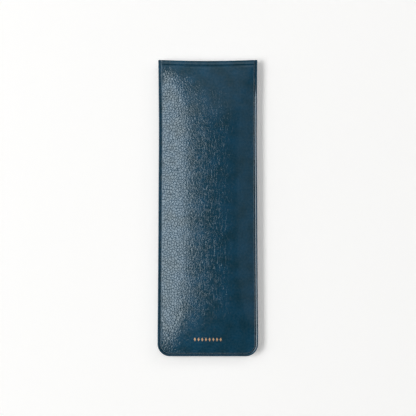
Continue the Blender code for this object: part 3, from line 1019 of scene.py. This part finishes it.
def row_tree():
    """Copies of a small mesh in a row across."""
    inputs = {"Count": "Int", "First": "Float", "Spacing": "Float", "Material": "Material"}
    tree, given = new_group("foil row", "GeometryNodeTree", GEOMETRY | inputs, GEOMETRY)
    first, spacing = (plane_vector(tree, given[name], 0.0) for name in ("First", "Spacing"))
    places = {"Count": given["Count"], "Start Location": first, "Offset": spacing}
    line = add_node(tree, "GeometryNodeMeshLine", places)
    copies = {"Points": line.outputs[0], "Instance": given["Geometry"]}
    row = add_node(tree, "GeometryNodeInstanceOnPoints", copies)
    real_with_material(tree, row.outputs[0], given["Material"])
    return tree


def copper_foil(name, colour):
    """Stamped foil, worn in fine spots."""
    made, tree, shader = new_material(name, colour, Metallic=0.6)
    worn = noise(tree, own_place(tree), FOIL_WEAR, 3.0)
    feed(shader, {
        "Base Color": varied(tree, worn, toned(colour, 0.7), colour, 0.3, 0.5),
        "Roughness": ranged(tree, worn, to_low=0.35, to_high=0.55),
    })
    return made


def laid_on_front(made):
    """Drops a flat piece onto the front skin, at the foil's place."""
    middle = middle_line(front_skin.outer)[::-1]
    rows = np.searchsorted(front_skin.measures[middle, 1], 2.0 * FOIL_HEIGHT)
    faces = quads(front_skin.outer[:rows], False).tolist()
    skin = BVHTree.FromPolygons(front_points.tolist(), faces)
    down = Vector((0.0, 0.0, -1.0))
    for vertex in made.data.vertices:
        x, y, z = vertex.co
        y = y + FOOT_Y + FOIL_HEIGHT
        hit = skin.ray_cast(Vector((x, y, 2.0 * cover_high.z)), down)[0]
        vertex.co = (x, y, hit.z + FOIL_LIFT + z)


def lozenge(name):
    """One lozenge, flat on the table, as a closed plate."""
    corners = ((1, 0), (0, 1), (-1, 0), (0, -1))
    flat = [(x * FOIL_WIDTH / 2, y * FOIL_LENGTH / 2) for x, y in corners]
    points = np.array([(x, y, z) for z in (FOIL_THICKNESS, 0.0) for x, y in flat])
    sides = [[k, k + 4, (k + 1) % 4 + 4, (k + 1) % 4] for k in range(4)]
    made = made_mesh(name, points, [[0, 1, 2, 3], [7, 6, 5, 4], *sides])
    made.data.shade_flat()
    return made


COPPER_FOIL = copper_foil("copper foil", (0.95, 0.61, 0.35))
FOIL_ROW = row_tree()
foils = {}
for side, word in SIDES.items():
    made = lozenge(f"foil_{word}")
    spacing = {"First": side * FOIL_SPACING / 2, "Spacing": side * FOIL_SPACING}
    shaped_by(made, FOIL_ROW, spacing | {"Count": FOIL_A_SIDE, "Material": COPPER_FOIL})
    made.data.materials.pop(index=0)
    laid_on_front(made)
    foils[side] = made
print("foil:", 2 * FOIL_A_SIDE, "lozenges")

# %% The back cover, in one piece
back_skin = Skin(cover_outer(back_crown, BACK_STEP), cover_inner(back_crown), -1)
back_cover = prepared("back_skin", back_skin, LEATHERCLOTH["back"])[0]
embossed(back_cover, "back")
print("back cover:", len(back_cover.data.vertices), "points")

# %% [markdown]
# ## The linings, the foam and the strips
# These lie inside. The lining is a smooth film that the pens slide on, and it shows when the
# mouth opens. The foam gives the panel its soft shoulder, and the strip is a flat spring. They
# follow the same formulas as the cover, so all the layers bend together.

# %% Finishes of the inner layers
LINING_DRIFT, LINING_DRIFT_DEPTH = 6.0 * MM, 0.3 * MM
FOAM_PORE, FOAM_PORE_DEPTH = 0.6 * MM, 0.15 * MM
# How often the rolled lines of the strip change in a metre: along them, across them, and deep
ROLLED_LINES = (40.0, 3000.0, 40.0)


def lining_film(name, colour):
    """Smooth film that buckles softly, with a gloss that drifts."""
    made, tree, shader = new_material(name, colour, IOR=1.5)
    drift = noise(tree, own_place(tree), LINING_DRIFT, 4.0)
    feed(shader, {
        "Base Color": varied(tree, drift, colour, toned(colour, 1.5)),
        "Roughness": ranged(tree, drift, to_low=0.35, to_high=0.6),
        "Normal": bumped(tree, drift, LINING_DRIFT_DEPTH),
    })
    return made


def open_foam(name, colour):
    """Matt foam with small pores, painted darker in their pits as painted shade."""
    made, tree, shader = new_material(name, colour, Roughness=0.95)
    given = {"Vector": own_place(tree), "Scale": 1.0 / FOAM_PORE}
    pores = add_node(tree, "ShaderNodeTexVoronoi", given).outputs["Distance"]
    feed(shader, {
        # The pores' pits get painted shade: the colour darkens where the bump is lowest.
        "Base Color": varied(tree, pores, toned(colour, 0.6), colour),
        "Normal": bumped(tree, pores, FOAM_PORE_DEPTH),
    })
    return made


def spring_steel(name, colour):
    """Rolled strip, with fine lines across the case."""
    made, tree, shader = new_material(name, colour, Metallic=1.0)
    drawn = vector_maths(tree, "MULTIPLY", own_place(tree), ROLLED_LINES)
    lines = noise(tree, drawn, 1.0, 2.0)
    feed(shader, {"Roughness": ranged(tree, lines, to_low=0.22, to_high=0.42)})
    return made


# %% Shapes of the inner layers
def clear_inset(height, along):
    """How far in from the outline the inside of a cover has risen to a height."""
    room = FILLING_FOOT + filling_thickness(along) + GAP - LINING_FOOT
    share = clamped((height - LINING_FOOT) / room)
    return SHOULDER_START + SHOULDER_WALL + SHOULDER_RUN * (1.0 - np.sqrt(1.0 - share))


LINING_START = clear_inset(LINING_TOP + GAP, CASE_LENGTH) + LINING_FOOT
LINING_END = CASE_LENGTH - LIP_BEAD_WIDTH - GAP
LINING_STEP = 1.2 * MM
FOAM_STEP = 1.6 * MM
STRIP_STEP = 1.0 * MM
THINNEST_FOAM = 0.12 * MM


def layer(start, rows_end, step, bottom, top, crown, facing, rows_start=None):
    """A closed layer from a start inset, between a bottom height and a top height."""
    run = SHOULDER_RUN
    low = start if rows_start is None else rows_start
    rows = joined(spaced(low, low + run, run / 4), spaced(low + run, rows_end, step))
    x, along, inset = flat_grid(spaced(start, start + run, run / 4), step, rows)
    puffed = crown(x, along)
    faces = [(x, along, inset, height(along, inset, puffed)) for height in (top, bottom)]
    return Skin(*faces, facing)


def level(height):
    """A face at an even height above the panel's crown."""
    return lambda along, inset, crown: height + crown


def foam_top(along, inset, crown):
    """The foam's outer face, which keeps a gap under the cover."""
    thickness = cover_inside(along, inset, crown) - GAP - FILLING_FOOT - crown
    return FILLING_FOOT + crown + np.maximum(thickness, THINNEST_FOAM)


def inner_layers(facing, crown):
    """The lining, the foam and the strip of one panel, as skins by name."""
    strip_top, strip_end = FILLING_FOOT + STRIP_THICKNESS, CASE_LENGTH - STRIP_DEPTH
    foam_start = clear_inset(strip_top + GAP, CASE_LENGTH / 2) + GAP
    strip_start = clear_inset(strip_top + GAP, strip_end - STRIP_HEIGHT / 2)
    lining = (level(LINING_FOOT), level(LINING_TOP), crown, facing)
    foam = (level(FILLING_FOOT), foam_top, crown, facing)
    strip = (level(FILLING_FOOT), level(strip_top), crown, facing, strip_end - STRIP_HEIGHT)
    return {
        "lining": layer(LINING_START, LINING_END, LINING_STEP, *lining),
        "padding": layer(foam_start, CASE_LENGTH - FOAM_DEPTH, FOAM_STEP, *foam),
        "spring_strip": layer(strip_start, strip_end, STRIP_STEP, *strip),
    }


# %% Making the inner layers
# Each layer's finish, its name, and its colours on the front and on the back
FINISHES = {
    "lining": (lining_film, "lining film", (0.012, 0.016, 0.022), (0.012, 0.015, 0.021)),
    "padding": (open_foam, "foam", (0.62, 0.60, 0.55), (0.60, 0.58, 0.53)),
    "spring_strip": (spring_steel, "spring steel", (0.55, 0.56, 0.58), (0.54, 0.55, 0.57)),
}
front_inner, back_inner = {}, {}
for kind, skin in inner_layers(1, front_crown).items():
    make, name, colour, _ = FINISHES[kind]
    finish, halves = make(f"front {name}", colour), {}
    for side, word in SIDES.items():
        halves[side] = prepared(f"front_{kind}_{word}", skin, finish, side)
    shade_as_whole(halves, skin)
    front_inner[kind] = [halves[side][0] for side in SIDES]
for kind, skin in inner_layers(-1, back_crown).items():
    make, name, _, colour = FINISHES[kind]
    back_inner[kind] = prepared(f"back_{kind}_whole", skin, make(f"back {name}", colour))[0]
print("inner layers:", len(front_inner) * 2 + len(back_inner), "pieces")

# %% [markdown]
# ## Which body each piece moves with
# The back half stays on the table, and its pieces move with the back body. The front
# half-skins and the foil keep their places here; on the real case the panel bows between its weld
# and the middle line.


def bent_open(piece):
    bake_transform(piece)


front_covers = [made for made, _ in front_halves.values()]
for kind, pieces in ({"cover": front_covers} | front_inner).items():
    for side, made in zip(SIDES, pieces):
        bent_open(made)
        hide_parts(f"front_{kind}")
for side, made in foils.items():
    bent_open(made)
for kind, made in ({"cover": back_cover} | back_inner).items():
    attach(made, "back_half")
    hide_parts(f"back_{kind}")

# %% [markdown]
# ## The table, the lights and the camera
# The photograph looks straight down at a white table. A soft light on the left gives the
# broad highlight down the left half of the panel and the short shadow on the right. The sheen
# and the shadow fix its place apart, so the light that is mirrored and the light that is
# scattered come from lamps of their own. What hangs straight above is dark, so the rest of the
# film shows its own deep colour. A long lens keeps the outline square.

# %% The table
def white_table():
    """White board, lifted by a faint glow of its own as in a bright room."""
    glow = {"Emission_Color": (1.0, 0.99, 0.98, 1.0), "Emission_Strength": 0.27}
    made, tree, shader = new_material("white table", (0.9, 0.9, 0.89), Roughness=0.6, **glow)
    drift = noise(tree, own_place(tree), 0.25, 2.0)
    feed(shader, {"Base Color": varied(tree, drift, (0.89, 0.89, 0.88), (0.91, 0.91, 0.9))})
    return made


TABLE_HALF = 4.0
corners = np.array([(-1, -1, 0), (1, -1, 0), (1, 1, 0), (-1, 1, 0)]) * TABLE_HALF
table = made_mesh("table", corners, [[0, 1, 2, 3]])
table.data.materials.append(white_table())


# %% The lights
def soft_light(name, place, size, radiance, aimed_at=None, mirrored=True, scattered=True):
    """A flat light of an even brightness, facing down or at a point.

    The gloss shows it if it is mirrored, and it lights the plain surfaces if it is scattered.
    """
    data = bpy.data.lights.new(name, "AREA")
    data.shape = "RECTANGLE"
    data.size, data.size_y = size
    data.energy = radiance * math.pi * size[0] * size[1]
    made = bpy.data.objects.new(name, data)
    made.location = place
    if aimed_at is not None:
        made.rotation_euler = (Vector(aimed_at) - Vector(place)).to_track_quat("-Z", "Y").to_euler()
    made.visible_camera = False
    made.visible_glossy = mirrored
    made.visible_diffuse = scattered
    bpy.context.scene.collection.objects.link(made)


soft_light("key softbox", (-1.525, -0.05, 2.0), (1.75, 1.6), 3.45, scattered=False)
soft_light("key softbox middle", (-1.525, -0.4, 2.0), (1.75, 0.9), 1.65, scattered=False)
soft_light("far key", (-4.675, -0.375, 5.0), (3.15, 4.0), 9.9, mirrored=False)
soft_light("key softbox side", (-2.425, 0.0, 1.05), (1.9, 1.5), 0.8, (0.0, 0.0, 1.05))
soft_light("top fill", (0.0, 0.9, 2.0), (2.4, 0.9), 0.19)
soft_light("far top fill", (0.0, 2.1, 2.0), (2.4, 1.5), 0.45)
soft_light("right fill", (2.2, 0.0, 2.0), (2.5, 3.0), 0.13)
soft_light("left room fill", (-2.4, 1.6, 2.0), (2.4, 3.0), 0.95, mirrored=False)
soft_light("room fill", (2.0, 1.6, 2.0), (4.0, 3.0), 1.8, mirrored=False)

scene = bpy.context.scene
scene.view_settings.view_transform = "Standard"
scene.world = bpy.data.worlds.new("studio")
scene.world.use_nodes = True
background = scene.world.node_tree.nodes["Background"].inputs
background["Color"].default_value = (1.0, 1.0, 1.0, 1.0)
background["Strength"].default_value = 0.04

# %% The camera
# The width of table that the photograph shows, and the point that it is centred on
PHOTO_FIELD = 0.2498
CENTRED_ON = (0.12 * MM, 0.06 * MM)
SENSOR = 36.0
LENS = 100.0
camera_data = bpy.data.cameras.new("camera")
camera_data.sensor_width = SENSOR
camera_data.lens = LENS
camera = bpy.data.objects.new("camera", camera_data)
camera.location = (*CENTRED_ON, RIM_PLANE + PHOTO_FIELD * LENS / SENSOR)
scene.collection.objects.link(camera)
scene.camera = camera
